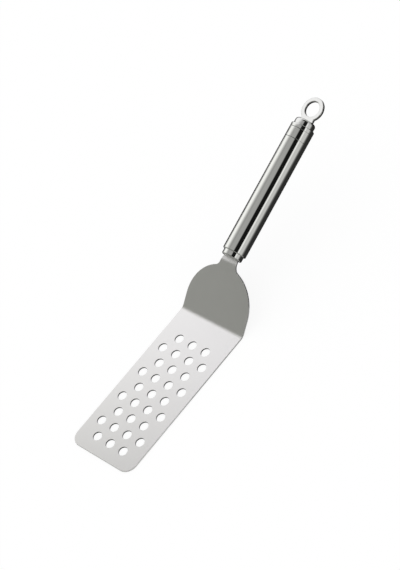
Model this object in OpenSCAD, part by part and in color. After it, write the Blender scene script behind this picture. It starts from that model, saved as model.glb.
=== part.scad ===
// Perforated steel turner with a cranked blade and a welded hollow handle.
// X runs across the blade, +Y towards the hanging eye and +Z up.
// The flat underside of the blade lies on z = 0, under the middle of the tool.

/* [Sheet blade] */
// Thickness of the blade sheet
sheet_t = 1.2; // [0.8:0.1:1.6]
// Width of the blade
blade_w = 64; // [56:1:80]
// Length of the flat blade, from its tip to the bend line
blade_len = 134.6; // [128:0.2:170]
// Radius of the two corners at the tip
tip_corner_r = 9; // [4:0.5:16]
// Rounding of the bend at the shoulder, measured on the sheet's middle surface
blade_bend_r = 7; // [1.5:0.1:9]

/* [Drain holes] */
// Diameter of a drain hole
hole_d = 7.4; // [5:0.1:9]
// Distance between neighbouring holes, in a row and from row to row
hole_pitch = 14; // [12:0.25:14.5]
// Distance from the bend line to the first row of holes
first_row = 24.2; // [14:0.2:28]
// Least distance from the last row of holes to the tip
tip_margin = 13; // [8:0.5:30]
// Least distance from the middle of a hole to the blade's side
side_margin = 10; // [7:0.5:20]

/* [Shoulder and neck] */
// Angle between the blade and the shoulder
shoulder_rise = 38.8; // [30:0.2:50]
// Length of the shoulder's straight sides, before they turn in
shoulder_side = 12.5; // [6:0.5:16]
// Step in from the front plug's side to the side of the neck
neck_step = 0.95; // [0.2:0.05:2.5]
// Angle at which each side of the neck draws in towards the handle
neck_taper = 12; // [6:0.5:16]
// Radius of the hollow curve between shoulder and neck
neck_fillet_r = 5; // [3:0.5:9]
// Straight stretch between that hollow curve and the bend at the neck
neck_flat = 0.15; // [0.1:0.05:10]
// Rounding of the bend at the neck, measured on the sheet's middle surface
neck_bend_r = 7; // [4:0.5:9]
// Length of the neck, from its bend to the handle
neck_show = 3.9; // [3:0.1:8]
// Metal on each side of the tang's slot in the front plug
tang_land = 2.85; // [1.5:0.05:4]

/* [Handle tube] */
// Angle between the blade and the handle
handle_rise = 17.4; // [5:0.2:30]
// Outer diameter of the handle tube
tube_d = 18.9; // [17:0.1:24]
// Wall of the handle tube
tube_wall = 1.5; // [0.8:0.1:2]
// Length of the handle tube
tube_len = 107.6; // [80:0.2:140]
// Rounding of the tube's outer rim at both ends
tube_rim_r = 0.7; // [0.2:0.1:1]
// Width of a turned line round the tube
line_w = 0.35; // [0.2:0.05:0.8]
// Depth of a turned line round the tube
line_depth = 0.12; // [0.05:0.01:0.4]
// Distance of the first turned line from the tube's rear end
first_line = 3.3; // [2:0.1:8]
// Distance between the two turned lines
line_gap = 8.3; // [4:0.1:16]

/* [End plugs] */
// Length of the front plug that shows
nose_show = 4.3; // [2:0.1:10]
// Rounding of the front plug's rim
nose_rim_r = 1; // [0.3:0.1:2]
// Length of the rear plug that shows
cap_show = 5.3; // [3:0.1:12]
// Rounding of the rear plug's rim
cap_rim_r = 2.2; // [0.5:0.1:4]
// Length of either plug inside the tube
spigot_len = 9; // [5:0.5:20]
// Width of the ledge that seats on the end of the tube
seat_ledge = 0.2; // [0.1:0.05:0.4]
// Lead-in chamfer at the inner end of a plug
lead_in = 0.8; // [0.3:0.1:1.5]

/* [Hanging eye] */
// Diameter of the hole in the eye
eye_bore_d = 12.5; // [8:0.1:18]
// Width of the metal round the hole
eye_band = 3.35; // [2:0.05:5]
// Thickness of the eye
eye_t = 2.4; // [1.6:0.1:3.5]
// Rounding of the eye's edges
eye_edge_r = 0.5; // [0.2:0.05:0.75]
// Metal on each side of the stem's slot in the rear plug
stem_land = 1.65; // [1:0.05:3]
// Gap between the eye's round and the rear plug
eye_gap = 0.35; // [0:0.05:4]

/* [Fits and welds] */
// Clearance on each side of the tang and of the stem in their slots
slot_gap = 0.05; // [0.02:0.01:0.2]
// Clearance all round a plug in the tube
plug_gap = 0.05; // [0.02:0.01:0.2]
// Radius of the weld bead inside the handle
bead_r = 1; // [0.6:0.1:1.6]
// Length of tang or stem that stands through its plug, past the bead
weld_stub = 0.8; // [0.3:0.1:3]

/* [Hidden] */
$fn = 96;

// Round stretches reach this far past what they meet, so that they cross it and don't just touch
bite = 0.001;

// Rows of holes stand at the height of an equal-sided triangle, as many as the blade has room for
row_pitch = hole_pitch * sin(60);
hole_rows = 1 + floor((blade_len - first_row - tip_margin) / row_pitch);
long_row = 1 + floor((blade_w - 2 * side_margin) / hole_pitch);

// Radii of the handle, from the bore of the tube outwards
tube_r = tube_d / 2;
tube_bore_r = tube_r - tube_wall;
spigot_r = tube_bore_r - plug_gap;
plug_head_r = tube_bore_r + seat_ledge;

// Widths of the flat bars that stand in the plugs, and of the neck at the handle
tang_w = 2 * (spigot_r - tang_land - slot_gap);
stem_w = 2 * (spigot_r - stem_land - slot_gap);
neck_w = 2 * (plug_head_r - neck_step);

// A bend takes this much of the flat on either side of its bend line
blade_bend_run = blade_bend_r * tan(shoulder_rise / 2);
neck_turn = shoulder_rise - handle_rise;
neck_bend_run = neck_bend_r * tan(neck_turn / 2);

// The shoulder is a half round as wide as the blade. A hollow curve joins it to the neck's
// side, which is a straight line, so the curve's centre follows from touching both.
neck_side_len = neck_flat + neck_bend_run + neck_show * cos(neck_turn);
fillet_end_x = neck_w / 2 + neck_side_len * tan(neck_taper);
fillet_x = fillet_end_x + (neck_fillet_r - bite) * cos(neck_taper);
fillet_y = shoulder_side + sqrt(pow(blade_w / 2 + neck_fillet_r, 2) - pow(fillet_x, 2));
fillet_end_y = fillet_y - (neck_fillet_r - bite) * sin(neck_taper);
shoulder_len = fillet_end_y + neck_flat + neck_bend_run;
neck_end = fillet_end_y + neck_side_len;

// Places along the handle's axis, measured from the neck's bend line
nose_face = neck_show;
tube_front = nose_face + nose_show;
tube_rear = tube_front + tube_len;
cap_face = tube_rear + cap_show;
eye_bore_r = eye_bore_d / 2;
eye_r = eye_bore_r + eye_band;
eye_mid_r = eye_bore_r + eye_band / 2;
eye_centre = cap_face + eye_gap + eye_r;
tang_end = tube_front + spigot_len + bead_r + weld_stub;
stem_end = tube_rear - spigot_len - bead_r - weld_stub;

// The origin lies halfway between the tip and the far edge of the eye
handle_reach = (eye_centre + eye_r - eye_edge_r) * cos(handle_rise);
eye_edge_reach = (eye_t / 2 - eye_edge_r) * sin(handle_rise) + eye_edge_r;
tool_reach = shoulder_len * cos(shoulder_rise) + handle_reach + eye_edge_reach;
bend_y = (blade_len - tool_reach) / 2;

// Places its children at the bend line, on the middle of the sheet
module at_bend_line()
    translate([0, bend_y, sheet_t / 2]) children();

// Turns its children so that y runs up the shoulder from the bend line
module along_shoulder()
    at_bend_line() rotate([shoulder_rise, 0, 0]) children();

// Turns its children so that y runs along the handle's axis from the neck's bend line
module along_handle()
    along_shoulder() translate([0, shoulder_len, 0]) rotate([-neck_turn, 0, 0]) children();

// Revolves an outline of radius and length about the handle's axis
module turned()
    along_handle() rotate([-90, 0, 0]) rotate_extrude() children();

// Raises an outline in the plane of the handle to a thickness about its middle
module plate(thickness)
    translate([0, 0, -thickness / 2]) linear_extrude(thickness) children();

// Wedge from a bend's centre out past its corner, without the disc inside the bend
module outside_bend(r, from, turn)
    rotate(from) difference() {
        polygon([[0, 0], [2 * r, 0], [3 * r * cos(turn / 2), 3 * r * sin(turn / 2)],
            [2 * r * cos(turn), 2 * r * sin(turn)]]);
        circle(r + bite);
    }

// Side view of everything under a surface that runs at this height over the middle of the sheet,
// with the blade's bend line at the origin, the blade along -x and the handle rising along +x
module under(h) {
    far = tool_reach - h;
    mean_rise = (shoulder_rise + handle_rise) / 2;
    neck_corner = h / cos(neck_turn / 2);
    neck_x = shoulder_len * cos(shoulder_rise) - neck_corner * sin(mean_rise);
    neck_y = shoulder_len * sin(shoulder_rise) + neck_corner * cos(mean_rise);
    far_x = neck_x + far * cos(handle_rise);
    far_y = neck_y + far * sin(handle_rise);
    difference() {
        union() {
            polygon([[-far, h], [-far, -far], [far_x, -far], [far_x, far_y], [neck_x, neck_y],
                [-h * tan(shoulder_rise / 2), h]]);
            translate([-blade_bend_run, blade_bend_r])
                outside_bend(blade_bend_r - h, -90, shoulder_rise);
        }
        rotate(shoulder_rise) translate([shoulder_len - neck_bend_run, -neck_bend_r])
            outside_bend(neck_bend_r + h, 90 - neck_turn, neck_turn);
    }
}

// The sheet at full width with both of its bends, before anything is trimmed off
module bent_sheet()
    at_bend_line() rotate([90, 0, 90]) linear_extrude(2 * blade_w, center = true)
        difference() {
            under(sheet_t / 2);
            under(-sheet_t / 2);
        }

// Outline of the sheet at the blade's full width, seen from above, with round corners at the tip
module blank_outline() {
    straight_y = tip_corner_r - blade_len;
    translate([-blade_w / 2, straight_y]) square([blade_w, blade_len + tool_reach]);
    translate([tip_corner_r - blade_w / 2, -blade_len])
        square([blade_w - 2 * tip_corner_r, 2 * tip_corner_r]);
    for (side = [-1, 1])
        translate([side * (blade_w / 2 - tip_corner_r), straight_y]) circle(tip_corner_r);
}

// The neck and the two hollow curves beside it, in the plane of the shoulder
module neck_outline() {
    past = 2 * sheet_t;
    end_x = neck_w / 2 - past * tan(neck_taper);
    difference() {
        polygon([[0, shoulder_side], [fillet_x, fillet_y], [fillet_end_x, fillet_end_y],
            [end_x, neck_end + past], [-end_x, neck_end + past],
            [-fillet_end_x, fillet_end_y], [-fillet_x, fillet_y]]);
        for (side = [-1, 1])
            translate([side * fillet_x, fillet_y]) circle(neck_fillet_r);
    }
}

// What is trimmed off beside the half round of the shoulder and the neck
module shoulder_waste()
    difference() {
        translate([-blade_w, shoulder_side])
            square([2 * blade_w, neck_end + sheet_t - shoulder_side]);
        translate([0, shoulder_side]) circle(blade_w / 2 + bite);
        neck_outline();
    }

// What is trimmed off beside the tang and past its end
module tang_waste()
    difference() {
        translate([-blade_w, nose_face]) square([2 * blade_w, tool_reach]);
        translate([-tang_w / 2, 0]) square([tang_w, tang_end]);
    }

// Staggered rows of drain holes, with one hole more in every second row
module drain_holes()
    for (row = [0 : hole_rows - 1]) {
        count = long_row - (row + 1) % 2;
        for (i = [0 : count - 1])
            translate([(i - (count - 1) / 2) * hole_pitch, -first_row - row * row_pitch, -sheet_t])
                cylinder(d = hole_d, h = 2 * sheet_t, $fn = 48);
    }

// Blade, shoulder, neck and tang, pressed from one sheet
module blade()
    color("gainsboro") difference() {
        intersection() {
            bent_sheet();
            at_bend_line() plate(4 * blade_w) blank_outline();
        }
        along_shoulder() plate(blade_w) shoulder_waste();
        along_handle() plate(4 * sheet_t) tang_waste();
        at_bend_line() drain_holes();
    }

// A quarter round that is cut from a square corner of an outline, at the corner's inner centre
module rim_cut(r, x, y, end)
    translate([x, y]) difference() {
        translate([0, end < 0 ? -2 * r : 0]) square([2 * r, 2 * r]);
        circle(r);
    }

// Front plug, turned from bar, with a slot for the tang
module front_plug()
    color("silver") difference() {
        turned() difference() {
            union() {
                translate([0, nose_face]) square([plug_head_r, nose_show]);
                translate([0, tube_front]) square([spigot_r, spigot_len]);
            }
            rim_cut(nose_rim_r, plug_head_r - nose_rim_r, nose_face + nose_rim_r, -1);
            translate([spigot_r, tube_front + spigot_len]) rotate(45)
                square(lead_in * sqrt(2), center = true);
        }
        along_handle() translate([0, (nose_face + tang_end) / 2, 0])
            cube([tang_w + 2 * slot_gap, tang_end - nose_face, sheet_t + 2 * slot_gap], center = true);
    }

// Weld beads along both flats of a bar that stands out of the face y = 0 towards +y
module weld_beads(width, thickness)
    for (side = [0, 180])
        rotate([0, side, 0]) translate([-width / 2, 0, thickness / 2]) rotate([90, 0, 90])
            rotate_extrude(angle = 90) square([bead_r, width]);

// Beads that hold the tang behind the front plug
module tang_weld()
    color("darkgray") along_handle()
        translate([0, tube_front + spigot_len, 0]) weld_beads(tang_w, sheet_t);

// Polished hollow handle with two turned lines near its rear end
module handle_tube()
    color("whitesmoke") turned() difference() {
        translate([tube_bore_r, tube_front]) square([tube_wall, tube_len]);
        rim_cut(tube_rim_r, tube_r - tube_rim_r, tube_front + tube_rim_r, -1);
        rim_cut(tube_rim_r, tube_r - tube_rim_r, tube_rear - tube_rim_r, 1);
        for (back = [first_line, first_line + line_gap])
            translate([tube_r - line_depth, tube_rear - back - line_w / 2])
                square([tube_wall, line_w]);
    }

// Rear plug, turned from bar, with a rounded rim and a slot for the eye's stem
module rear_plug()
    color("silver") difference() {
        turned() difference() {
            union() {
                translate([0, tube_rear]) square([plug_head_r, cap_show]);
                translate([0, tube_rear - spigot_len]) square([spigot_r, spigot_len]);
            }
            rim_cut(cap_rim_r, plug_head_r - cap_rim_r, cap_face - cap_rim_r, 1);
            translate([spigot_r, tube_rear - spigot_len]) rotate(45)
                square(lead_in * sqrt(2), center = true);
        }
        along_handle() translate([0, (cap_face + stem_end) / 2, 0])
            cube([stem_w + 2 * slot_gap, cap_face - stem_end, eye_t + 2 * slot_gap], center = true);
    }

// Section of the eye's band, a bar with round edges
module eye_section()
    translate([eye_bore_r, -eye_t / 2]) {
        translate([eye_edge_r, 0]) square([eye_band - 2 * eye_edge_r, eye_t]);
        translate([0, eye_edge_r]) square([eye_band, eye_t - 2 * eye_edge_r]);
        for (x = [eye_edge_r, eye_band - eye_edge_r], y = [eye_edge_r, eye_t - eye_edge_r])
            translate([x, y]) circle(eye_edge_r, $fn = 24);
    }

// Flat eye with its stem, pressed from one plate
module hanging_eye()
    color("whitesmoke") along_handle() translate([0, eye_centre, 0]) {
        rotate_extrude() eye_section();
        plate(eye_t) difference() {
            translate([-stem_w / 2, stem_end - eye_centre])
                square([stem_w, eye_centre - stem_end - eye_bore_r / 2]);
            circle(eye_mid_r);
        }
    }

// Beads that hold the stem behind the rear plug
module eye_weld()
    color("darkgray") along_handle()
        translate([0, tube_rear - spigot_len, 0]) rotate([0, 0, 180]) weld_beads(stem_w, eye_t);

blade();
front_plug();
tang_weld();
handle_tube();
rear_plug();
hanging_eye();
eye_weld();
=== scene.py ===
"""Looks of a perforated steel turner, built around its packed CAD model.

The sheet with its drain holes, the turned plugs, the polished tube and the hanging eye are
meshes made to the CAD model's own sizes. Steel finishes are procedural. All lengths are metres.
"""

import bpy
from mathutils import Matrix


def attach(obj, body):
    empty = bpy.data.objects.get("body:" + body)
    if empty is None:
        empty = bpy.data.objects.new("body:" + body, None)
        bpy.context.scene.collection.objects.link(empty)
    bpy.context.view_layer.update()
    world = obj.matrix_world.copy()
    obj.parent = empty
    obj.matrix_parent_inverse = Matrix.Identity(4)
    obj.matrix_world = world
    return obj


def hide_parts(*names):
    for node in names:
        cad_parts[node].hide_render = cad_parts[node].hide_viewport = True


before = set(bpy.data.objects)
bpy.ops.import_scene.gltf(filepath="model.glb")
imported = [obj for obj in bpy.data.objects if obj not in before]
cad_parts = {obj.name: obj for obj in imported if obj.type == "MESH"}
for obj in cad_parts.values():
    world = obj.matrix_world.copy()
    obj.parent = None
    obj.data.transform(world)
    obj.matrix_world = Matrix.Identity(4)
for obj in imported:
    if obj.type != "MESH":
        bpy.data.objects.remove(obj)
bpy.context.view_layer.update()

from math import atan2, cos, floor, hypot, pi, radians, sin, sqrt, tan

import bmesh
import bpy
from bpy.props import FloatProperty, FloatVectorProperty, PointerProperty
from bpy.types import Operator, Panel, PropertyGroup
from mathutils import Matrix, Vector
from mathutils.geometry import tessellate_polygon

bl_info = {
    "name": "Perforated Turner",
    "version": (1, 0, 0),
    "blender": (4, 5, 0),
    "location": "3D View > Sidebar > Turner",
    "description": "Builds a perforated steel turner with a hollow handle, and a plain studio",
    "category": "Add Mesh",
}

BODY = "root"
MM = 0.001


# Properties


def length(name, mm, description):
    """A size given in millimetres and kept in metres."""
    return FloatProperty(
        name=name, description=description, default=mm * MM, min=0, unit="LENGTH", precision=5
    )


def angle(name, deg, description):
    return FloatProperty(name=name, description=description, default=radians(deg), subtype="ANGLE")


def share(name, value, description):
    return FloatProperty(
        name=name, description=description, default=value, min=0, max=1, subtype="FACTOR"
    )


def colour(name, value, description):
    return FloatVectorProperty(
        name=name, description=description, default=value, size=3, min=0, max=1, subtype="COLOR"
    )


class TurnerSheet(PropertyGroup):
    """Sizes of the pressed sheet: blade, shoulder, neck and tang"""

    thickness: length("Thickness", 1.2, "Thickness of the sheet")
    width: length("Blade Width", 64, "Width of the blade")
    blade_len: length("Blade Length", 134.6, "From the tip to the bend line")
    tip_corner_r: length("Tip Corner Radius", 9, "Round corners at the tip")
    edge_r: length("Edge Radius", 0.16, "Rounding that deburring leaves on the sheet's edges")
    blade_bend_r: length("Blade Bend Radius", 7, "Bend radius at the middle of the sheet")
    shoulder_rise: angle("Shoulder Rise", 38.8, "Slope of the shoulder from the blade")
    shoulder_side: length("Shoulder Side", 12.5, "Straight side before the half round")
    neck_step: length("Neck Step", 0.95, "Collar beside the neck's end")
    neck_taper: angle("Neck Taper", 12, "Slant of each side of the neck")
    neck_fillet_r: length("Neck Curve Radius", 5, "Hollow curve between shoulder and neck")
    neck_flat: length("Neck Flat", 0.15, "Flat between the hollow curve and the neck's bend")
    neck_bend_r: length("Neck Bend Radius", 7, "Bend radius at the middle of the sheet")
    neck_show: length("Neck Length", 3.9, "From the neck's bend line to the collar")
    tang_land: length("Tang Land", 2.85, "Metal of the plug beside the tang's slot")


class TurnerHoles(PropertyGroup):
    """Sizes of the drain holes"""

    diameter: length("Hole Diameter", 7.4, "Diameter of a drain hole")
    pitch: length("Hole Pitch", 14, "Spacing of the holes in a row")
    first_row: length("First Row", 24.2, "From the bend line to the nearest row")
    tip_margin: length("Tip Margin", 13, "Least distance from the tip to a row")
    side_margin: length("Side Margin", 10, "Least distance from the side to a hole's centre")
    rim_r: length("Hole Rim Radius", 0.16, "Rounding of the holes' rims")


class TurnerHandle(PropertyGroup):
    """Sizes of the hollow handle and of the plugs that close it"""

    rise: angle("Handle Rise", 17.4, "Slope of the handle from the blade")
    diameter: length("Tube Diameter", 18.9, "Outside diameter of the tube")
    wall: length("Tube Wall", 1.5, "Wall of the tube")
    tube_len: length("Tube Length", 107.6, "Length of the tube")
    rim_r: length("Tube Rim Radius", 0.7, "Rounding of the tube's rims")
    line_w: length("Line Width", 0.35, "Width of a turned line")
    line_depth: length("Line Depth", 0.12, "Depth of a turned line")
    first_line: length("First Line", 3.3, "From the tube's rear rim to the first line")
    line_gap: length("Line Gap", 8.3, "Between the two lines")
    nose_show: length("Collar Length", 4.3, "Visible length of the front plug")
    nose_rim_r: length("Collar Rim Radius", 1, "Rounding of the front plug's rim")
    cap_show: length("Cap Length", 5.3, "Visible length of the rear plug")
    cap_rim_r: length("Cap Rim Radius", 2.2, "Rounding of the rear plug's rim")
    spigot_len: length("Spigot Length", 9, "Length of each plug inside the tube")
    seat_ledge: length("Seat Ledge", 0.2, "Step by which a plug's head covers the tube's wall")
    lead_in: length("Lead In", 0.8, "Chamfer at the spigot's end")
    plug_gap: length("Plug Gap", 0.05, "Clearance of the spigot in the tube")
    slot_gap: length("Slot Gap", 0.05, "Clearance of a bar in its slot")


class TurnerEye(PropertyGroup):
    """Sizes of the hanging eye and its stem"""

    bore_d: length("Bore Diameter", 12.5, "Hole that the turner hangs by")
    band: length("Band Width", 3.35, "Width of the eye's band")
    thickness: length("Thickness", 2.4, "Thickness of the plate")
    edge_r: length("Edge Radius", 0.5, "Rounding of the eye's edges")
    crotch_r: length("Crotch Radius", 0.5, "Hollow curve between the eye and its stem")
    gap: length("Eye Gap", 0.35, "Between the cap and the eye")
    stem_land: length("Stem Land", 1.65, "Metal of the plug beside the stem's slot")


class TurnerWelds(PropertyGroup):
    """Sizes of the weld beads inside the handle"""

    bead_r: length("Bead Radius", 1, "Leg of a weld bead")
    stub: length("Bar Stub", 0.8, "How far each bar stands past its bead")
    ripple: length("Ripple Spacing", 0.9, "Spacing of the ripples along a bead")
    ripple_depth: share("Ripple Depth", 0.1, "Depth of a ripple as a share of the bead's leg")


class TurnerFinish(PropertyGroup):
    """Colours and gloss of the steel"""

    satin: colour("Satin Steel", (0.812, 0.804, 0.788), "Colour of the satin sheet")
    satin_rough: share("Satin Roughness", 0.38, "Roughness of the satin sheet")
    polished: colour("Polished Steel", (0.69, 0.693, 0.662), "Colour of the polished handle")
    polished_rough: share("Polished Roughness", 0.07, "Roughness of the polished handle")
    # The dark colour in the turned lines is painted shade, laid only over part of their round
    painted_groove_shade: colour("Painted Groove Shade", (0.09, 0.09, 0.088), "Colour in the turned lines")
    shaded_groove_rough: share("Shaded Groove Roughness", 0.45, "Roughness in the turned lines")
    groove_shade_start: angle("Groove Shade Start", 56, "Where the lines' dark part starts, from the right")
    groove_shade_end: angle("Groove Shade End", 118, "Where the lines' dark part ends, from the right")
    weld: colour("Weld Steel", (0.52, 0.49, 0.45), "Colour of the weld beads")
    weld_tint: colour("Heat Tint", (0.36, 0.24, 0.14), "Straw tint that the heat leaves")
    weld_rough: share("Weld Roughness", 0.38, "Roughness of the weld beads")


class TurnerStage(PropertyGroup):
    """Floor, light and camera"""

    floor_size: length("Floor Size", 60000, "Side of the floor")
    floor_drop: length("Floor Drop", 0.1, "Floor below the blade's underside")
    floor_grey: share("Floor Colour", 0.17, "Share of the floor's light that shadows take away")
    sky: FloatProperty(
        name="Sky Strength", description="Even light from all round", default=0.8, min=0
    )
    tent_r: length("Tent Radius", 600, "Radius of the light tent about the handle")
    tent_len: length("Tent Length", 6000, "Length of the light tent")
    camera_at: FloatVectorProperty(
        name="Camera", description="Place of the camera", size=3, subtype="TRANSLATION",
        default=(0.92206, -0.42549, 1.09497), precision=5,
    )
    camera_turn: FloatVectorProperty(
        name="Camera Turn", description="Angles of the camera", size=3, subtype="EULER",
        default=(radians(39.1267), radians(21.3756), radians(41.6629)),
    )
    lens: FloatProperty(
        name="Focal Length", description="Focal length on a 36 mm sensor", default=125.09,
        unit="CAMERA",
    )


GROUPS = {
    "turner_sheet": TurnerSheet,
    "turner_holes": TurnerHoles,
    "turner_handle": TurnerHandle,
    "turner_eye": TurnerEye,
    "turner_welds": TurnerWelds,
    "turner_finish": TurnerFinish,
    "turner_stage": TurnerStage,
}


class Layout:
    """Sizes and places that follow from the properties, by the CAD model's own rules."""

    def __init__(self, scene):
        sheet, holes, handle = scene.turner_sheet, scene.turner_holes, scene.turner_handle
        eye, welds = scene.turner_eye, scene.turner_welds
        self.row_pitch = holes.pitch * sin(radians(60))
        row_room = sheet.blade_len - holes.first_row - holes.tip_margin
        self.rows = 1 + floor(row_room / self.row_pitch)
        self.long_row = 1 + floor((sheet.width - 2 * holes.side_margin) / holes.pitch)

        self.tube_r = handle.diameter / 2
        self.tube_bore_r = self.tube_r - handle.wall
        self.spigot_r = self.tube_bore_r - handle.plug_gap
        self.head_r = self.tube_bore_r + handle.seat_ledge
        self.tang_w = 2 * (self.spigot_r - sheet.tang_land - handle.slot_gap)
        self.stem_w = 2 * (self.spigot_r - eye.stem_land - handle.slot_gap)
        self.neck_w = 2 * (self.head_r - sheet.neck_step)

        self.blade_bend_run = sheet.blade_bend_r * tan(sheet.shoulder_rise / 2)
        self.neck_turn = sheet.shoulder_rise - handle.rise
        self.neck_bend_run = sheet.neck_bend_r * tan(self.neck_turn / 2)
        neck_side = sheet.neck_flat + self.neck_bend_run + sheet.neck_show * cos(self.neck_turn)
        self.fillet_end_x = self.neck_w / 2 + neck_side * tan(sheet.neck_taper)
        self.fillet_x = self.fillet_end_x + sheet.neck_fillet_r * cos(sheet.neck_taper)
        self.fillet_y = sheet.shoulder_side + sqrt(
            (sheet.width / 2 + sheet.neck_fillet_r) ** 2 - self.fillet_x**2
        )
        self.fillet_end_y = self.fillet_y - sheet.neck_fillet_r * sin(sheet.neck_taper)
        self.shoulder_len = self.fillet_end_y + sheet.neck_flat + self.neck_bend_run

        self.nose_face = sheet.neck_show
        self.tube_front = self.nose_face + handle.nose_show
        self.tube_rear = self.tube_front + handle.tube_len
        self.cap_face = self.tube_rear + handle.cap_show
        self.eye_bore_r = eye.bore_d / 2
        self.eye_r = self.eye_bore_r + eye.band
        self.eye_centre = self.cap_face + eye.gap + self.eye_r
        self.tang_end = self.tube_front + handle.spigot_len + welds.bead_r + welds.stub
        self.stem_end = self.tube_rear - handle.spigot_len - welds.bead_r - welds.stub

        reach = (
            self.shoulder_len * cos(sheet.shoulder_rise)
            + (self.eye_centre + self.eye_r - eye.edge_r) * cos(handle.rise)
            + (eye.thickness / 2 - eye.edge_r) * sin(handle.rise)
            + eye.edge_r
        )
        self.bend_y = (sheet.blade_len - reach) / 2
        self.mid_z = sheet.thickness / 2
        self.handle = (
            Matrix.Translation((0, self.bend_y, self.mid_z))
            @ Matrix.Rotation(sheet.shoulder_rise, 4, "X")
            @ Matrix.Translation((0, self.shoulder_len, 0))
            @ Matrix.Rotation(-self.neck_turn, 4, "X")
        )


# Nodes


def math_pair(operation):
    """An operator and its reflected form. Each adds a Math node."""
    return (
        lambda self, other: self.graph.math(operation, self, other),
        lambda self, other: self.graph.math(operation, other, self),
    )


class Value:
    """A node's output that takes part in arithmetic."""

    def __init__(self, graph, socket):
        self.graph, self.socket = graph, socket

    __add__, __radd__ = math_pair("ADD")
    __sub__, __rsub__ = math_pair("SUBTRACT")
    __mul__, __rmul__ = math_pair("MULTIPLY")
    __truediv__, __rtruediv__ = math_pair("DIVIDE")

    def __abs__(self):
        return self.graph.math("ABSOLUTE", self)

    def __gt__(self, other):
        return self.graph.math("GREATER_THAN", self, other)

    def __lt__(self, other):
        return self.graph.math("LESS_THAN", self, other)


class Graph:
    """A node tree that is filled through one method."""

    def __init__(self, tree):
        self.tree = tree
        tree.nodes.clear()

    def node(self, kind, sockets=None, **settings):
        """Adds a node: its settings first, then the values or links of its sockets."""
        made = self.tree.nodes.new(kind)
        for name, value in settings.items():
            setattr(made, name, value)
        for key, value in (sockets or {}).items():
            if isinstance(value, Value):
                self.tree.links.new(value.socket, made.inputs[key])
            else:
                made.inputs[key].default_value = value
        return made

    def out(self, kind, sockets=None, key=0, **settings):
        """One output of a new node, ready for arithmetic."""
        return Value(self, self.node(kind, sockets, **settings).outputs[key])

    def math(self, operation, *values):
        return self.out("ShaderNodeMath", dict(enumerate(values)), operation=operation)

    def vector(self, operation, *values, key=0):
        sockets = dict(enumerate(values))
        return self.out("ShaderNodeVectorMath", sockets, key, operation=operation)

    def dot(self, vector, direction):
        return self.vector("DOT_PRODUCT", vector, tuple(direction), key="Value")

    def join(self, x=0.0, y=0.0, z=0.0):
        """A vector from its three parts."""
        return self.out("ShaderNodeCombineXYZ", {"X": x, "Y": y, "Z": z})

    def split(self, vector):
        """The three parts of a vector."""
        node = self.node("ShaderNodeSeparateXYZ", {0: vector})
        return [Value(self, output) for output in node.outputs]

    def attribute(self, name):
        return self.out("ShaderNodeAttribute", key="Fac", attribute_name=name)

    def step(self, value, at, soft):
        """Rises smoothly from 0 to 1 over a width of soft about at."""
        sockets = {"Value": value, "From Min": at - soft / 2, "From Max": at + soft / 2}
        return self.out("ShaderNodeMapRange", sockets, interpolation_type="SMOOTHSTEP")

    def levels(self, value, bands):
        """The level at a value. Bands are the first level, then changes as (at, soft, level)."""
        level, *changes = bands
        total = level
        for at, soft, new in changes:
            total = total + self.step(value, at, soft) * (new - level)
            level = new
        return total

    def blend(self, factor, a, b):
        """Goes from colour a to colour b as the factor goes from 0 to 1."""
        sockets = {"Factor": factor, 6: self.rgba(a), 7: self.rgba(b)}
        return self.out("ShaderNodeMix", sockets, key=2, data_type="RGBA")

    @staticmethod
    def rgba(value):
        return value if isinstance(value, Value) else (*tuple(value)[:3], 1.0)

    def noise(self, vector, scale, detail=2.0, roughness=0.5):
        return self.out(
            "ShaderNodeTexNoise",
            {"Vector": vector, "Scale": scale, "Detail": detail, "Roughness": roughness},
        )

    def grained(self, vector, squeeze, turn=0.0):
        """The vector turned about z, then squeezed along y and z, where a grain will run."""
        turned = self.out("ShaderNodeMapping", {"Vector": vector, "Rotation": (0, 0, turn)})
        return self.vector("MULTIPLY", turned, (1, squeeze, squeeze))

    def emission(self, colour):
        return self.out("ShaderNodeEmission", {"Color": colour, "Strength": 1.0})

    def surface(self, shader, kind="Material"):
        """Ends the graph of a material or of the world."""
        self.node(f"ShaderNodeOutput{kind}", {"Surface": shader})


# Finishes


def new_material(name):
    """A material, its graph and the Object coordinates in it."""
    material = bpy.data.materials.new(name)
    material.use_nodes = True
    graph = Graph(material.node_tree)
    return material, graph, graph.out("ShaderNodeTexCoord", key="Object")


def tones(colour, spread):
    """A darker and a lighter tone of a colour."""
    return [c * (1 - spread) for c in colour], [min(1, c * (1 + spread)) for c in colour]


def swing(pattern, width):
    """A pattern from 0 to 1 made to swing about 0."""
    return (pattern - 0.5) * width


def steel(graph, base, roughness, height, bump_mm):
    """Ends a steel's graph: a metal with a varied colour and gloss and a fine relief."""
    sockets = {"Strength": 1.0, "Distance": bump_mm * MM, "Height": height}
    bump = graph.out("ShaderNodeBump", sockets)
    shader = graph.out(
        "ShaderNodeBsdfPrincipled",
        {"Base Color": base, "Metallic": 1.0, "Roughness": roughness, "Normal": bump},
    )
    graph.surface(shader)


def satin_steel(name, finish):
    """Cold-rolled sheet with a fine grain along the blade, light marks and brighter edges."""
    material, graph, position = new_material(name)
    lengthwise = graph.grained(position, squeeze=0.025)
    grain = graph.noise(lengthwise, scale=7000, detail=3, roughness=0.6)
    cloud = graph.noise(position, scale=45, detail=3)
    slanted = graph.grained(position, squeeze=0.012, turn=radians(24))
    scratch = graph.step(graph.noise(slanted, scale=2600), at=0.72, soft=0.05)
    grain_share, scratch_gloss, edge_gloss, scratch_depth = 0.35, 0.05, 0.45, 0.6
    base = graph.blend(
        grain * grain_share + cloud * (1 - grain_share), *tones(finish.satin, spread=0.05)
    )
    roughness = (
        finish.satin_rough
        + swing(grain, width=0.1)
        + swing(cloud, width=0.06)
        + scratch * scratch_gloss
        - graph.attribute("worn_edge") * (finish.satin_rough * edge_gloss)
    )
    steel(graph, base, roughness, grain - scratch * scratch_depth, bump_mm=0.0016)
    return material


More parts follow.
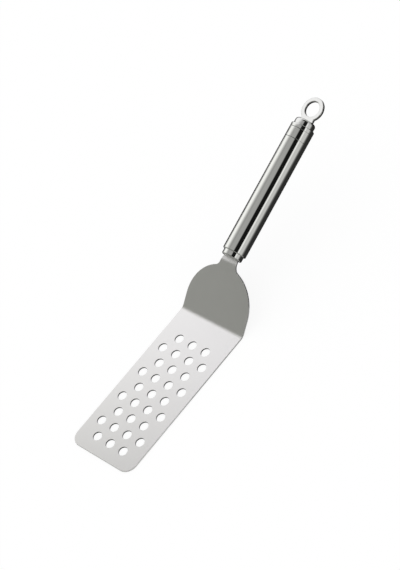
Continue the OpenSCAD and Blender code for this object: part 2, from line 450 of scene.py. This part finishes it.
def polished_steel(name, finish, layout):
    """Buffed steel: near mirror, with faint rings from the lathe and soft buffing clouds."""
    material, graph, position = new_material(name)
    along = graph.dot(position, layout.handle.to_3x3() @ Vector((0, 1, 0)))
    across = graph.dot(position, (1, 0, 0))
    fine, wander, drift = 5200, 60, 90
    rings = graph.noise(
        graph.join(along * fine, across * wander, along * drift),
        scale=1.0, detail=3, roughness=0.6,
    )
    cloud = graph.noise(position, scale=70, detail=3)
    # The turned lines' dark colour is painted shade: it covers only part of their round
    painted_groove_shade = graph.attribute("painted_groove_shade")
    base = graph.blend(cloud, *tones(finish.polished, spread=0.015))
    base = graph.blend(painted_groove_shade, base, finish.painted_groove_shade)
    roughness = (
        finish.polished_rough
        + swing(rings, width=0.03)
        + swing(cloud, width=0.03)
        + painted_groove_shade * (finish.shaded_groove_rough - finish.polished_rough)
    )
    steel(graph, base, roughness, rings, bump_mm=0.00012)
    return material


def weld_steel(name, finish):
    """Weld metal left as it is: scaly, with straw heat tint in patches."""
    material, graph, position = new_material(name)
    tint = graph.step(graph.noise(position, scale=900, detail=3), at=0.52, soft=0.2)
    scales = graph.noise(position, scale=4200, detail=4, roughness=0.65)
    base = graph.blend(tint, finish.weld, finish.weld_tint)
    tint_gloss = 0.08
    roughness = finish.weld_rough + swing(scales, width=0.25) + tint * tint_gloss
    steel(graph, base, roughness, scales, bump_mm=0.012)
    return material


# Mesh tools


def spread(start, end, count):
    """Values at even steps from start to end, with both of them."""
    return [start + (end - start) * i / count for i in range(count + 1)]


def arc(centre, r, start, end, count):
    """Points of an arc in a plane, from one angle to the other."""
    x, y = centre
    return [(x + r * cos(turn), y + r * sin(turn)) for turn in spread(start, end, count)]


def inset(outline, by):
    """A closed outline moved inwards, with mitred corners. It runs anticlockwise."""
    moved = []
    for i, here in enumerate(outline):
        here, before = Vector(here), Vector(outline[i - 1])
        after = Vector(outline[(i + 1) % len(outline)])
        one, two = (here - before).normalized(), (after - here).normalized()
        first, second = Vector((one.y, -one.x)), Vector((two.y, -two.x))
        moved.append(here - (first + second) * (by / (1 + first.dot(second))))
    return moved


def edge_rings(outline, thickness, edge_r, steps=4):
    """Rings of (x, y, height) round a plate's edge, from its top face down to its underside."""
    upper = []
    for turn in spread(0, pi / 2, steps):
        height = thickness / 2 - edge_r + edge_r * cos(turn)
        upper.append([(p.x, p.y, height) for p in inset(outline, edge_r * (1 - sin(turn)))])
    return upper + [[(x, y, -h) for x, y, h in ring] for ring in reversed(upper)]


def join_rings(mesh, rings, close=True):
    """Quads between rings of vertices. Returns the faces."""
    faces = []
    for above, below in zip(rings, rings[1:]):
        count = len(above)
        for i in range(count if close else count - 1):
            j = (i + 1) % count
            faces.append(mesh.faces.new((above[i], below[i], below[j], above[j])))
    return faces


def lathe(profile, place, segments, closed=False):
    """A turned solid from (radius, distance along the axis) points. The axis is y."""
    mesh = bmesh.new()
    rings = []
    for r, along in profile:
        circle = arc((0, 0), r, 0, 2 * pi, segments)[:-1] if r else [(0, 0)]
        rings.append([mesh.verts.new((x, along, z)) for x, z in circle])
    for one, two in zip(rings, rings[1:] + rings[:1] if closed else rings[1:]):
        for i in range(segments):
            j = (i + 1) % segments
            corners = (
                [one[0], two[j], two[i]] if len(one) == 1
                else [one[i], one[j], two[0]] if len(two) == 1
                else [one[i], one[j], two[j], two[i]]
            )
            mesh.faces.new(corners)
    mesh.transform(place)
    bmesh.ops.recalc_face_normals(mesh, faces=mesh.faces)
    return mesh


def block(size, place):
    """A box about the origin, then put in place. It only cuts slots."""
    mesh = bmesh.new()
    bmesh.ops.create_cube(mesh, size=1, matrix=place @ Matrix.Diagonal((*size, 1)))
    return mesh


def to_object(mesh, name, material=None):
    """Turns a mesh into an object of the scene."""
    data = bpy.data.meshes.new(name)
    mesh.to_mesh(data)
    mesh.free()
    made = bpy.data.objects.new(name, data)
    bpy.context.scene.collection.objects.link(made)
    if material:
        data.materials.append(material)
    return made


def apply_modifiers(piece):
    """Turns a piece and its modifiers into a plain mesh."""
    bpy.context.view_layer.update()
    evaluated = piece.evaluated_get(bpy.context.evaluated_depsgraph_get())
    data = bpy.data.meshes.new_from_object(evaluated)
    piece.modifiers.clear()
    old, piece.data = piece.data, data
    data.name = piece.name
    bpy.data.meshes.remove(old)


def cut(piece, cutter):
    """Cuts a closed mesh out of a piece."""
    tool = to_object(cutter, "cutter")
    modifier = piece.modifiers.new("Slot", "BOOLEAN")
    modifier.operation, modifier.solver, modifier.object = "DIFFERENCE", "EXACT", tool
    apply_modifiers(piece)
    bpy.data.objects.remove(tool)


def shade(piece, corner=radians(38)):
    """Smooth rounds, flat flats and crisp corners."""
    piece.data.shade_smooth()
    piece.data.set_sharp_from_angle(angle=corner)
    modifier = piece.modifiers.new("Flat Faces Lead", "WEIGHTED_NORMAL")
    modifier.mode, modifier.keep_sharp = "FACE_AREA", True
    apply_modifiers(piece)


class Recipe:
    """A Geometry Nodes tree with named inputs, which makes or changes a piece."""

    def __init__(self, name):
        self.tree = bpy.data.node_groups.new(name, "GeometryNodeTree")
        self.graph = Graph(self.tree)
        for end in ("INPUT", "OUTPUT"):
            self.tree.interface.new_socket(
                name="Geometry", in_out=end, socket_type="NodeSocketGeometry"
            )
        self.values, self.source = {}, None

    def sizes(self, **sizes):
        """Adds a named input for each size, and returns their outputs in the same order."""
        titles = [name.replace("_", " ").title() for name in sizes]
        for title, value in zip(titles, sizes.values()):
            kind = "NodeSocketInt" if isinstance(value, int) else "NodeSocketFloat"
            socket = self.tree.interface.new_socket(name=title, in_out="INPUT", socket_type=kind)
            self.values[socket.identifier] = value
        self.source = self.graph.node("NodeGroupInput")
        return [Value(self.graph, self.source.outputs[title]) for title in titles]

    def geometry(self):
        return Value(self.graph, self.source.outputs["Geometry"])

    def finish(self, shape, material):
        """Ends the tree: instances are made real and the material is set."""
        real = self.graph.out("GeometryNodeRealizeInstances", {"Geometry": shape})
        sockets = {"Geometry": real, "Material": material}
        painted = self.graph.out("GeometryNodeSetMaterial", sockets)
        self.graph.node("NodeGroupOutput", {"Geometry": painted})

    def apply(self, piece):
        modifier = piece.modifiers.new(self.tree.name, "NODES")
        modifier.node_group = self.tree
        for identifier, value in self.values.items():
            modifier[identifier] = value
        apply_modifiers(piece)


def hand_in(piece, node):
    """Gives a finished piece its body and hides its CAD node."""
    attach(piece, BODY)
    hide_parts(node)


def finish_material(context, slot):
    """The finish of a material slot, made once and shared by its pieces."""
    name = "finish_" + slot
    if name in bpy.data.materials:
        return bpy.data.materials[name]
    finish = context.scene.turner_finish
    if slot == "satin_sheet":
        return satin_steel(name, finish)
    if slot == "weld_steel":
        return weld_steel(name, finish)
    return polished_steel(name, finish, Layout(context.scene))


# Pressed sheet


class SheetPath:
    """The middle of the sheet, followed from the tip through both bends to the tang's end."""

    def __init__(self, sheet, layout):
        blade_arc = sheet.blade_bend_r * sheet.shoulder_rise
        neck_arc = sheet.neck_bend_r * layout.neck_turn
        self.blade_bend = sheet.blade_len - layout.blade_bend_run
        self.shoulder = self.blade_bend + blade_arc
        self.neck_bend = (
            self.shoulder
            + layout.shoulder_len - layout.blade_bend_run - layout.neck_bend_run
        )
        self.neck = self.neck_bend + neck_arc
        self.stretches = (
            (self.blade_bend, 0),
            (blade_arc, sheet.shoulder_rise),
            (self.neck_bend - self.shoulder, 0),
            (neck_arc, -layout.neck_turn),
            (1, 0),
        )
        self.start = Vector((0, layout.bend_y - sheet.blade_len, layout.mid_z))
        self.blade_bend_run, self.neck_bend_run = layout.blade_bend_run, layout.neck_bend_run

    def on_shoulder(self, y):
        """Distance along the sheet of a point of the shoulder, measured from the bend line."""
        return self.shoulder + y - self.blade_bend_run

    def on_handle(self, y):
        """Distance along the sheet of a point past the neck's bend line."""
        return self.neck + y - self.neck_bend_run

    def place(self, x, along, height):
        """The point at this half width, distance along the sheet and height over its middle."""
        point, slope, left = self.start.copy(), 0.0, along
        for run, turn in self.stretches:
            part = min(left, run)
            if turn:
                r, after = run / turn, slope + turn * part / run
                point += Vector((0, r * (sin(after) - sin(slope)), r * (cos(slope) - cos(after))))
                slope = after
            else:
                point += Vector((0, part * cos(slope), part * sin(slope)))
            left -= part
            if left <= 0:
                break
        return point + Vector((x, -height * sin(slope), height * cos(slope)))


def sheet_half_outline(sheet, layout, path):
    """Right half of the sheet's outline as (half width, distance along the sheet)."""
    half, corner = sheet.width / 2, sheet.tip_corner_r
    tip = arc((half - corner, corner), corner, -pi / 2, 0, count=24)
    side = [(half, y) for y in spread(path.blade_bend, path.shoulder, count=12)]
    touch = atan2(layout.fillet_y - sheet.shoulder_side, layout.fillet_x)
    round_part = arc((0, path.on_shoulder(sheet.shoulder_side)), half, 0, touch, count=72)
    hollow = arc(
        (layout.fillet_x, path.on_shoulder(layout.fillet_y)),
        sheet.neck_fillet_r, pi + touch, pi + sheet.neck_taper, count=18,
    )
    end_x, end_y = hollow[-1]
    nose, nose_x = path.on_handle(layout.nose_face), layout.neck_w / 2
    neck = [
        (end_x + (nose_x - end_x) * (y - end_y) / (nose - end_y), y)
        for y in spread(path.neck_bend, path.neck, count=10)
    ]
    seat = 0.05 * MM  # The neck's end slants by this much down to the tang
    tang = [
        (nose_x, nose - seat), (layout.tang_w / 2, nose),
        (layout.tang_w / 2, path.on_handle(layout.tang_end)),
    ]
    return tip + side + round_part + hollow[1:] + neck + tang


def pressed_sheet(sheet, layout):
    """The bent sheet with softly rounded edges, before its holes are punched."""
    path = SheetPath(sheet, layout)
    right = sheet_half_outline(sheet, layout, path)
    outline = right + [(-x, y) for x, y in reversed(right)]
    mesh = bmesh.new()
    worn = mesh.faces.layers.float.new("worn_edge")
    rings = [
        [mesh.verts.new(path.place(*point)) for point in ring]
        for ring in edge_rings(outline, sheet.thickness, sheet.edge_r)
    ]
    for face in join_rings(mesh, rings):
        face[worn] = 1
    last = len(outline) - 1
    for ring, turned in ((rings[0], False), (rings[-1], True)):
        for i in range(len(right) - 1):
            corners = (ring[i], ring[i + 1], ring[last - i - 1], ring[last - i])
            mesh.faces.new(reversed(corners) if turned else corners)
    bmesh.ops.recalc_face_normals(mesh, faces=mesh.faces)
    return mesh


def perforation(sheet, holes, layout, material):
    """Drain holes on staggered rows, each cut with a softly flared rim."""
    recipe = Recipe("Perforation")
    pitch, row_pitch, rows, long_row, first_y, radius, rim, thickness = recipe.sizes(
        pitch=holes.pitch, row_pitch=layout.row_pitch, rows=layout.rows,
        long_row=layout.long_row, first_row_y=layout.bend_y - holes.first_row,
        hole_radius=holes.diameter / 2, rim_radius=holes.rim_r, sheet_thickness=sheet.thickness,
    )
    g = recipe.graph
    index = g.out("GeometryNodeInputIndex")
    row = g.math("FLOOR", (index + 0.5) / long_row)
    column = index - row * long_row
    short = g.math("FLOORED_MODULO", row + 1, 2)
    shift = (long_row - 1 - short) / 2
    places = g.join((column - shift) * pitch, first_y - row * row_pitch, thickness / 2)
    centres = g.out("GeometryNodePoints", {"Count": rows * long_row, "Position": places})
    surplus = column > long_row - short - 0.5
    centres = g.out(
        "GeometryNodeDeleteGeometry", {"Geometry": centres, "Selection": surplus}, domain="POINT"
    )

    # The punch: a cylinder whose levels are moved onto the wall and the flares at both faces
    flare_steps, past = 5, 0.6 * MM
    side_levels = 2 * flare_steps + 3
    punch = g.out(
        "GeometryNodeMeshCylinder",
        {"Vertices": 96, "Side Segments": side_levels, "Radius": radius, "Depth": 2.0},
        fill_type="NGON",
    )
    x, y, z = g.split(g.out("GeometryNodeInputPosition"))
    level = abs(z) * (side_levels / 2) - 0.5
    turn = g.math("MINIMUM", level, flare_steps) * (pi / 2 / flare_steps)
    overshoot = 1.03  # The flares cross the faces, so that the cut is clean
    height = (
        thickness / 2
        - rim
        + rim * overshoot * g.math("SINE", turn)
        + g.math("MAXIMUM", level - flare_steps, 0) * past
    )
    widening = 1 + rim * (1 - g.math("COSINE", turn)) / radius
    moved = g.join(x * widening, y * widening, g.math("SIGN", z) * height)
    punch = g.out("GeometryNodeSetPosition", {"Geometry": punch, "Position": moved})
    punch = g.out(
        "GeometryNodeStoreNamedAttribute",
        {"Geometry": punch, "Name": "worn_edge", "Value": 1.0},
        data_type="FLOAT",
        domain="FACE",
    )
    punches = g.out("GeometryNodeInstanceOnPoints", {"Points": centres, "Instance": punch})
    punches = g.out("GeometryNodeRealizeInstances", {"Geometry": punches})
    punched = g.out(
        "GeometryNodeMeshBoolean",
        {"Mesh 1": recipe.geometry(), "Mesh 2": punches},
        operation="DIFFERENCE",
        solver="EXACT",
    )
    recipe.finish(punched, material)
    return recipe


class TURNER_OT_blade(Operator):
    """Press the blade, shoulder, neck and tang from one sheet and punch the drain holes"""

    bl_idname = "turner.blade"
    bl_label = "Blade"

    def execute(self, context):
        scene = context.scene
        layout = Layout(scene)
        material = finish_material(context, "satin_sheet")
        piece = to_object(pressed_sheet(scene.turner_sheet, layout), "pressed_sheet", material)
        perforation(scene.turner_sheet, scene.turner_holes, layout, material).apply(piece)
        shade(piece)
        hand_in(piece, "blade")
        return {"FINISHED"}


# Handle


def slotted_plug(context, name, node, face, shoulder, rim, steps, bar_w, bar_t):
    """A turned plug, rounded at its face, with a slot for a bar through its whole length."""
    layout, handle = Layout(context.scene), context.scene.turner_handle
    inward = 1 if shoulder > face else -1
    end = shoulder + inward * handle.spigot_len
    profile = [
        (0, face),
        *arc((layout.head_r - rim, face + inward * rim), rim, -inward * pi / 2, 0, steps),
        (layout.head_r, shoulder),
        (layout.spigot_r, shoulder),
        (layout.spigot_r, end - inward * handle.lead_in),
        (layout.spigot_r - handle.lead_in, end),
        (0, end),
    ]
    turned = lathe(profile, layout.handle, segments=160)
    piece = to_object(turned, name, finish_material(context, "polished_steel"))
    gap = 2 * handle.slot_gap
    slot = (bar_w + gap, 2 * abs(end - face), bar_t + gap)
    cut(piece, block(slot, layout.handle @ Matrix.Translation((0, end, 0))))
    shade(piece)
    hand_in(piece, node)


class TURNER_OT_front_plug(Operator):
    """Turn the collar that closes the front of the tube and slot it for the tang"""

    bl_idname = "turner.front_plug"
    bl_label = "Front Collar"

    def execute(self, context):
        scene = context.scene
        layout, rim = Layout(scene), scene.turner_handle.nose_rim_r
        slotted_plug(
            context, "front_collar", "front_plug", layout.nose_face, layout.tube_front,
            rim, 12, layout.tang_w, scene.turner_sheet.thickness,
        )
        return {"FINISHED"}


class TURNER_OT_rear_plug(Operator):
    """Turn the rounded cap that closes the rear of the tube and slot it for the eye's stem"""

    bl_idname = "turner.rear_plug"
    bl_label = "Rear Cap"

    def execute(self, context):
        scene = context.scene
        layout, rim = Layout(scene), scene.turner_handle.cap_rim_r
        slotted_plug(
            context, "rear_cap", "rear_plug", layout.cap_face, layout.tube_rear,
            rim, 16, layout.stem_w, scene.turner_eye.thickness,
        )
        return {"FINISHED"}


class TURNER_OT_handle_tube(Operator):
    """Turn the hollow handle with its rounded rims and two fine lines"""

    bl_idname = "turner.handle_tube"
    bl_label = "Handle Tube"

    def execute(self, context):
        scene = context.scene
        layout, handle, finish = Layout(scene), scene.turner_handle, scene.turner_finish
        r, rim = layout.tube_r, handle.rim_r
        front, rear = layout.tube_front, layout.tube_rear
        profile = arc((r - rim, front + rim), rim, -pi / 2, 0, count=8)
        lines = (handle.first_line + handle.line_gap, handle.first_line)
        for back in lines:
            profile += turned_line(r, rear - back, handle.line_w, handle.line_depth)
        profile += arc((r - rim, rear - rim), rim, 0, pi / 2, count=8)
        profile += [(layout.tube_bore_r, rear), (layout.tube_bore_r, front)]
        mesh = lathe(profile, layout.handle, segments=256, closed=True)
        # Only faces of the turned lines within an angle round the tube take the painted shade
        painted_groove_shade = mesh.faces.layers.float.new("painted_groove_shade")
        for face in mesh.faces:
            at = layout.handle.inverted() @ face.calc_center_median()
            on_line = any(abs(at.y - rear + back) < handle.line_w / 2 for back in lines)
            if on_line and hypot(at.x, at.z) > r - handle.wall / 2:
                face[painted_groove_shade] = finish.groove_shade_start < atan2(at.z, at.x) < finish.groove_shade_end
        piece = to_object(mesh, "polished_tube", finish_material(context, "polished_steel"))
        shade(piece)
        hand_in(piece, "handle_tube")
        return {"FINISHED"}


def turned_line(r, along, width, depth):
    """Profile of a fine groove whose soft lips make it half as wide again."""
    reach = 0.75 * width
    return [
        (r - depth * (1 + cos(pi * part)) / 2, along + reach * part)
        for part in spread(-1, 1, count=12)
    ]


class TURNER_OT_hanging_eye(Operator):
    """Press the flat hanging eye and its stem from one plate"""

    bl_idname = "turner.hanging_eye"
    bl_label = "Hanging Eye"

    def execute(self, context):
        scene = context.scene
        layout, eye = Layout(scene), scene.turner_eye
        half, r, crotch = layout.stem_w / 2, layout.eye_r, eye.crotch_r
        foot = layout.stem_end - layout.eye_centre
        drop = sqrt((r + crotch) ** 2 - (half + crotch) ** 2)
        touch = atan2(-drop, half + crotch)
        hollow = arc((half + crotch, -drop), crotch, pi, pi + touch, count=8)
        right = [(half, foot)] + hollow
        band = arc((0, 0), r, touch, pi - touch, count=120)
        outline = right + band[1:-1] + [(-x, y) for x, y in reversed(right)]
        bore = list(reversed(arc((0, 0), layout.eye_bore_r, 0, 2 * pi, count=112)[:-1]))

        mesh = bmesh.new()
        walls = [
            [
                [mesh.verts.new(point) for point in ring]
                for ring in edge_rings(loop, eye.thickness, eye.edge_r, steps=8)
            ]
            for loop in (outline, bore)
        ]
        for rings in walls:
            join_rings(mesh, rings)
        for end in (0, -1):
            loops = [rings[end] for rings in walls]
            corners = [vertex for loop in loops for vertex in loop]
            for triangle in tessellate_polygon([[v.co for v in loop] for loop in loops]):
                mesh.faces.new([corners[i] for i in triangle])
        mesh.transform(layout.handle @ Matrix.Translation((0, layout.eye_centre, 0)))
        bmesh.ops.recalc_face_normals(mesh, faces=mesh.faces)
        piece = to_object(mesh, "eye_plate", finish_material(context, "polished_steel"))
        shade(piece)
        hand_in(piece, "hanging_eye")
        return {"FINISHED"}


# Welds


def bead_recipe(width, welds, material):
    """A fillet bead along x with ripples, tapering a little at both ends."""
    recipe = Recipe("Weld Bead")
    long, leg, ripple, depth = recipe.sizes(
        bead_length=width, bead_leg=welds.bead_r,
        ripple_spacing=welds.ripple, ripple_depth=welds.ripple_depth,
    )
    g = recipe.graph
    ends = {"Start": g.join(long * -0.5), "End": g.join(long * 0.5)}
    line = g.out("GeometryNodeCurvePrimitiveLine", ends)
    line = g.out("GeometryNodeResampleCurve", {"Curve": line, "Count": 96})
    along = g.out("GeometryNodeSplineParameter", key="Length")
    swell = abs(g.math("SINE", along * pi / ripple))
    from_end = g.math("MINIMUM", along, long - along) / leg
    end_size, growth = 0.55, 0.9
    taper = g.math("MINIMUM", 1, end_size + from_end * growth)
    rippled = taper * (1 - depth * (1 - swell))
    line = g.out("GeometryNodeSetCurveRadius", {"Curve": line, "Radius": rippled})
    section = g.out(
        "GeometryNodeCurveArc",
        {"Resolution": 12, "Radius": leg, "Sweep Angle": pi / 2, "Connect Center": True},
        mode="RADIUS",
    )
    sockets = {"Curve": line, "Profile Curve": section, "Fill Caps": True}
    recipe.finish(g.out("GeometryNodeCurveToMesh", sockets), material)
    return recipe


def weld_pair(context, name, node, width, thickness, along, facing):
    """Two beads, one on each flat of a bar, on the end face of a plug."""
    material = finish_material(context, "weld_steel")
    seed = to_object(bmesh.new(), name, material)
    bead_recipe(width, context.scene.turner_welds, material).apply(seed)
    mesh = bmesh.new()
    for side in (1, -1):
        mesh.from_mesh(seed.data)
        # The bead's section lies on the minus side of its line in y and z
        for vertex in mesh.verts[-len(seed.data.vertices):]:
            x, y, z = vertex.co
            vertex.co = (x, along - facing * y, side * (thickness / 2 - z))
    mesh.transform(Layout(context.scene).handle)
    bmesh.ops.recalc_face_normals(mesh, faces=mesh.faces)
    mesh.to_mesh(seed.data)
    mesh.free()
    shade(seed, corner=radians(60))
    hand_in(seed, node)


class TURNER_OT_welds(Operator):
    """Lay the beads that hold the tang and the eye's stem inside the handle"""

    bl_idname = "turner.welds"
    bl_label = "Weld Beads"

    def execute(self, context):
        scene = context.scene
        layout, handle = Layout(scene), scene.turner_handle
        sheet, eye = scene.turner_sheet.thickness, scene.turner_eye.thickness
        front, rear = layout.tube_front + handle.spigot_len, layout.tube_rear - handle.spigot_len
        weld_pair(context, "tang_beads", "tang_weld", layout.tang_w, sheet, front, 1)
        weld_pair(context, "stem_beads", "eye_weld", layout.stem_w, eye, rear, -1)
        return {"FINISHED"}


# Stage

# What gloss sees is laid out in bands: the first level, then changes as (at, softness, level).

# The floor, by the distance to the right over the handle's height, which counts as this at least
FLOOR_BANDS = (1.2, (-10.0, 2.0, 0.03), (-1.0, 0.6, 0.035), (2.35, 2.6, 0.74))
LEAST_HEIGHT = 0.024
# The floor round the blade and under the shoulder, by y. It starts at the blade's outline.
BESIDE_BANDS = (0.62, (-0.09, 0.09, 0.36))
BESIDE_EDGE = (0.1 * MM, 0.2 * MM)

# The tent, by degrees round the handle: 0 is right, 90 is up and 180 is left
TENT_SPAN = (-30.0, 210.0)
TENT_BANDS = (0.74, (11.6, 3.0, 1.12), (25.2, 4.0, 0.01), (64.0, 9.0, 0.48), (104.0, 12.0, 0.42))
# What the left softbox adds, and what is taken away below it
SOFTBOX_RISE = (0.0, (130.5, 38.0, 0.86))
SOFTBOX_FALL = (0.0, (172.5, 2.0, -1.25))
# The black panel reaches further to the front: from and to this angle, and by this length
BLACK_PANEL = (25.0, 64.0, 0.3)
# The dim room in front of the bands
ROOM_BANDS = (0.22, (136.0, 70.0, 0.43))
ROOM_TINT = (1.0, 1.018, 0.96)

# Along the handle, in metres behind the neck's bend: (at, softness, how strong it is).
# The bands start here.
FRONT_EDGE = (-0.02, 0.04)
# From here to the rear, the bands stand this angle further round
REAR_DRIFT = (0.165, 0.07, 5.0)
# From here, the softbox starts this angle earlier, has no end below, and is tinted
EYE_PANEL = (0.207, 0.012, 26.0)
EYE_TINT = (0.96, 0.955, 0.99)
# From here, the bands lose this share of their light, up to an angle
FAR_DIM = (0.27, 0.12, 0.22)
FAR_DIM_END = (134.0, 16.0)
# Black cards at both ends, and the light that they leave. The rear one ends at an angle.
REAR_CARD = (0.36, 0.1, 0.03)
REAR_CARD_END = (106.0, 14.0)
FRONT_CARD = (-1.35, 0.3, 0.03)


def ray_kinds(graph):
    """1 for gloss, and 1 for all rays that see white: from the camera, in gloss, through glass."""
    rays = graph.node("ShaderNodeLightPath")
    camera, gloss, glass = (
        Value(graph, rays.outputs[f"Is {name} Ray"])
        for name in ("Camera", "Glossy", "Transmission")
    )
    return gloss, graph.math("MAXIMUM", graph.math("MAXIMUM", camera, gloss), glass)


def pale_world(context, stage):
    """White where it is seen, and an even light of the sky's strength for the rest."""
    world = bpy.data.worlds.new("pale_world")
    context.scene.world = world
    world.use_nodes = True
    graph = Graph(world.node_tree)
    _, seen = ray_kinds(graph)
    light = {"Color": stage.sky + (1 - stage.sky) * seen, "Strength": 1.0}
    graph.surface(graph.out("ShaderNodeBackground", light), "World")


def mirrored_floor(graph, position, sheet, layout):
    """Brightness of the floor in gloss: dark under the handle and left of it, paler elsewhere.
    Under the blade it is dark and under the shoulder a middle grey, which is painted shade.
    """
    x, y, _ = graph.split(position)
    start, axis = layout.handle.translation, layout.handle.to_3x3() @ Vector((0, 1, 0))
    height = graph.math("MAXIMUM", start.z + (y - start.y) * (axis.z / axis.y), LEAST_HEIGHT)
    shown = graph.levels(x / height, FLOOR_BANDS)

    # How far outside the blade's outline?
    tip_y, corner = layout.bend_y - sheet.blade_len, sheet.tip_corner_r
    past_side = graph.math("MAXIMUM", abs(x) - (sheet.width / 2 - corner), 0)
    past_tip = graph.math("MAXIMUM", tip_y + corner - y, 0)
    outside = graph.math("SQRT", past_side * past_side + past_tip * past_tip) - corner
    beside = graph.math("MAXIMUM", graph.step(outside, *BESIDE_EDGE), y > layout.bend_y)
    beside = beside * (y < start.y)
    # Under the blade the floor stays dark and under the shoulder it is grey: painted shade, as
    # gloss sees it
    return shown + beside * (graph.levels(y, BESIDE_BANDS) - shown)


def pale_floor(context, stage, layout):
    """White floor that keeps a soft shadow, with its own bands in gloss."""
    mesh = bmesh.new()
    place = Matrix.Translation((0, 0, -stage.floor_drop))
    bmesh.ops.create_grid(mesh, size=stage.floor_size / 2, matrix=place)
    material, graph, position = new_material("pale_floor")
    gloss, seen = ray_kinds(graph)
    grey = (*[stage.floor_grey] * 3, 1)
    shadowed = graph.out("ShaderNodeBsdfDiffuse", {"Color": grey})
    lift = graph.emission((1 - stage.floor_grey * stage.sky) * seen)
    plain = graph.out("ShaderNodeAddShader", {0: shadowed, 1: lift})
    shown = mirrored_floor(graph, position, context.scene.turner_sheet, layout)
    mirrored = graph.emission(shown)
    graph.surface(graph.out("ShaderNodeMixShader", {"Fac": gloss, 1: plain, 2: mirrored}))
    to_object(mesh, "floor", material)


def tent_light(graph, position, layout):
    """Colour of the tent: bands of softboxes and black panels, and a dim room in front."""
    turned = layout.handle.to_3x3()
    local = graph.vector("SUBTRACT", position, tuple(layout.handle.translation))
    right, along, up = (graph.dot(local, turned @ axis) for axis in Matrix.Identity(3))
    turn = graph.math("ARCTAN2", up, right) * (180 / pi)

    at, soft, shift = REAR_DRIFT
    bands = graph.levels(turn - graph.step(along, at, soft) * shift, TENT_BANDS)
    at, soft, shift = EYE_PANEL
    beyond = graph.step(along, at, soft)
    bands = bands + graph.levels(turn + beyond * shift, SOFTBOX_RISE)
    bands = bands + graph.levels(turn, SOFTBOX_FALL) * (1 - beyond)
    black_start, black_end, longer = BLACK_PANEL
    at, soft, left_over = REAR_CARD
    card = graph.step(along, at, soft) * (turn > black_start)
    card = card * (1 - graph.step(turn, *REAR_CARD_END))
    bands = bands * (1 - card * (1 - left_over))
    bands = graph.vector("MULTIPLY", bands, graph.blend(beyond, (1, 1, 1), EYE_TINT))

    at, soft, left_over = FRONT_CARD
    room = graph.levels(turn, ROOM_BANDS)
    room = room * (left_over + (1 - left_over) * graph.step(along, at, soft))
    room = graph.vector("MULTIPLY", room, ROOM_TINT)

    reach = (turn > black_start) * (turn < black_end) * longer
    at, soft, lost = FAR_DIM
    dim = graph.step(along, at, soft) * (1 - graph.step(turn, *FAR_DIM_END)) * lost
    return graph.blend(graph.step(along + reach, *FRONT_EDGE) * (1 - dim), room, bands)


def light_tent(stage, layout):
    """Panels about the handle that only gloss sees, as softboxes and black cards do."""
    mesh = bmesh.new()
    span = [radians(end) for end in TENT_SPAN]
    rings = [
        [mesh.verts.new((x, along, z)) for x, z in arc((0, 0), stage.tent_r, *span, count=96)]
        for along in (-stage.tent_len / 2, stage.tent_len / 2)
    ]
    join_rings(mesh, rings, close=False)
    mesh.transform(layout.handle)
    material, graph, position = new_material("light_tent")
    graph.surface(graph.emission(tent_light(graph, position, layout)))
    tent = to_object(mesh, "light_tent", material)
    tent.visible_camera = tent.visible_diffuse = tent.visible_shadow = False
    tent.visible_transmission = tent.visible_volume_scatter = False


class TURNER_OT_stage(Operator):
    """Set the pale floor, the plain soft light and the camera"""

    bl_idname = "turner.stage"
    bl_label = "Stage"

    def execute(self, context):
        scene = context.scene
        stage, layout = scene.turner_stage, Layout(scene)
        scene.view_settings.view_transform = "Standard"
        pale_world(context, stage)
        pale_floor(context, stage, layout)
        light_tent(stage, layout)
        data = bpy.data.cameras.new("camera")
        data.lens, data.sensor_width = stage.lens, 36
        data.clip_start, data.clip_end = 0.01, 100
        camera = bpy.data.objects.new("camera", data)
        camera.location, camera.rotation_euler = stage.camera_at, stage.camera_turn
        scene.collection.objects.link(camera)
        scene.camera = camera
        return {"FINISHED"}


# Panel and registration

OPERATORS = (
    TURNER_OT_blade, TURNER_OT_front_plug, TURNER_OT_handle_tube, TURNER_OT_rear_plug,
    TURNER_OT_hanging_eye, TURNER_OT_welds, TURNER_OT_stage,
)


class TURNER_PT_panel(Panel):
    """Lists the turner's sizes and the steps that build it"""

    bl_idname = "TURNER_PT_panel"
    bl_label = "Perforated Turner"
    bl_space_type = "VIEW_3D"
    bl_region_type = "UI"
    bl_category = "Turner"

    def draw(self, context):
        for operator in OPERATORS:
            self.layout.operator(operator.bl_idname)
        for name, group in GROUPS.items():
            box = self.layout.box()
            box.label(text=group.__doc__)
            for key in group.__annotations__:
                box.prop(getattr(context.scene, name), key)


def register():
    for cls in (*GROUPS.values(), *OPERATORS, TURNER_PT_panel):
        bpy.utils.register_class(cls)
    for name, group in GROUPS.items():
        setattr(bpy.types.Scene, name, PointerProperty(type=group))


def unregister():
    for name in GROUPS:
        delattr(bpy.types.Scene, name)
    for cls in reversed((*GROUPS.values(), *OPERATORS, TURNER_PT_panel)):
        bpy.utils.unregister_class(cls)


def main():
    register()
    bpy.ops.turner.blade()
    bpy.ops.turner.front_plug()
    bpy.ops.turner.handle_tube()
    bpy.ops.turner.rear_plug()
    bpy.ops.turner.hanging_eye()
    bpy.ops.turner.welds()
    bpy.ops.turner.stage()


if __name__ == "__main__":
    main()
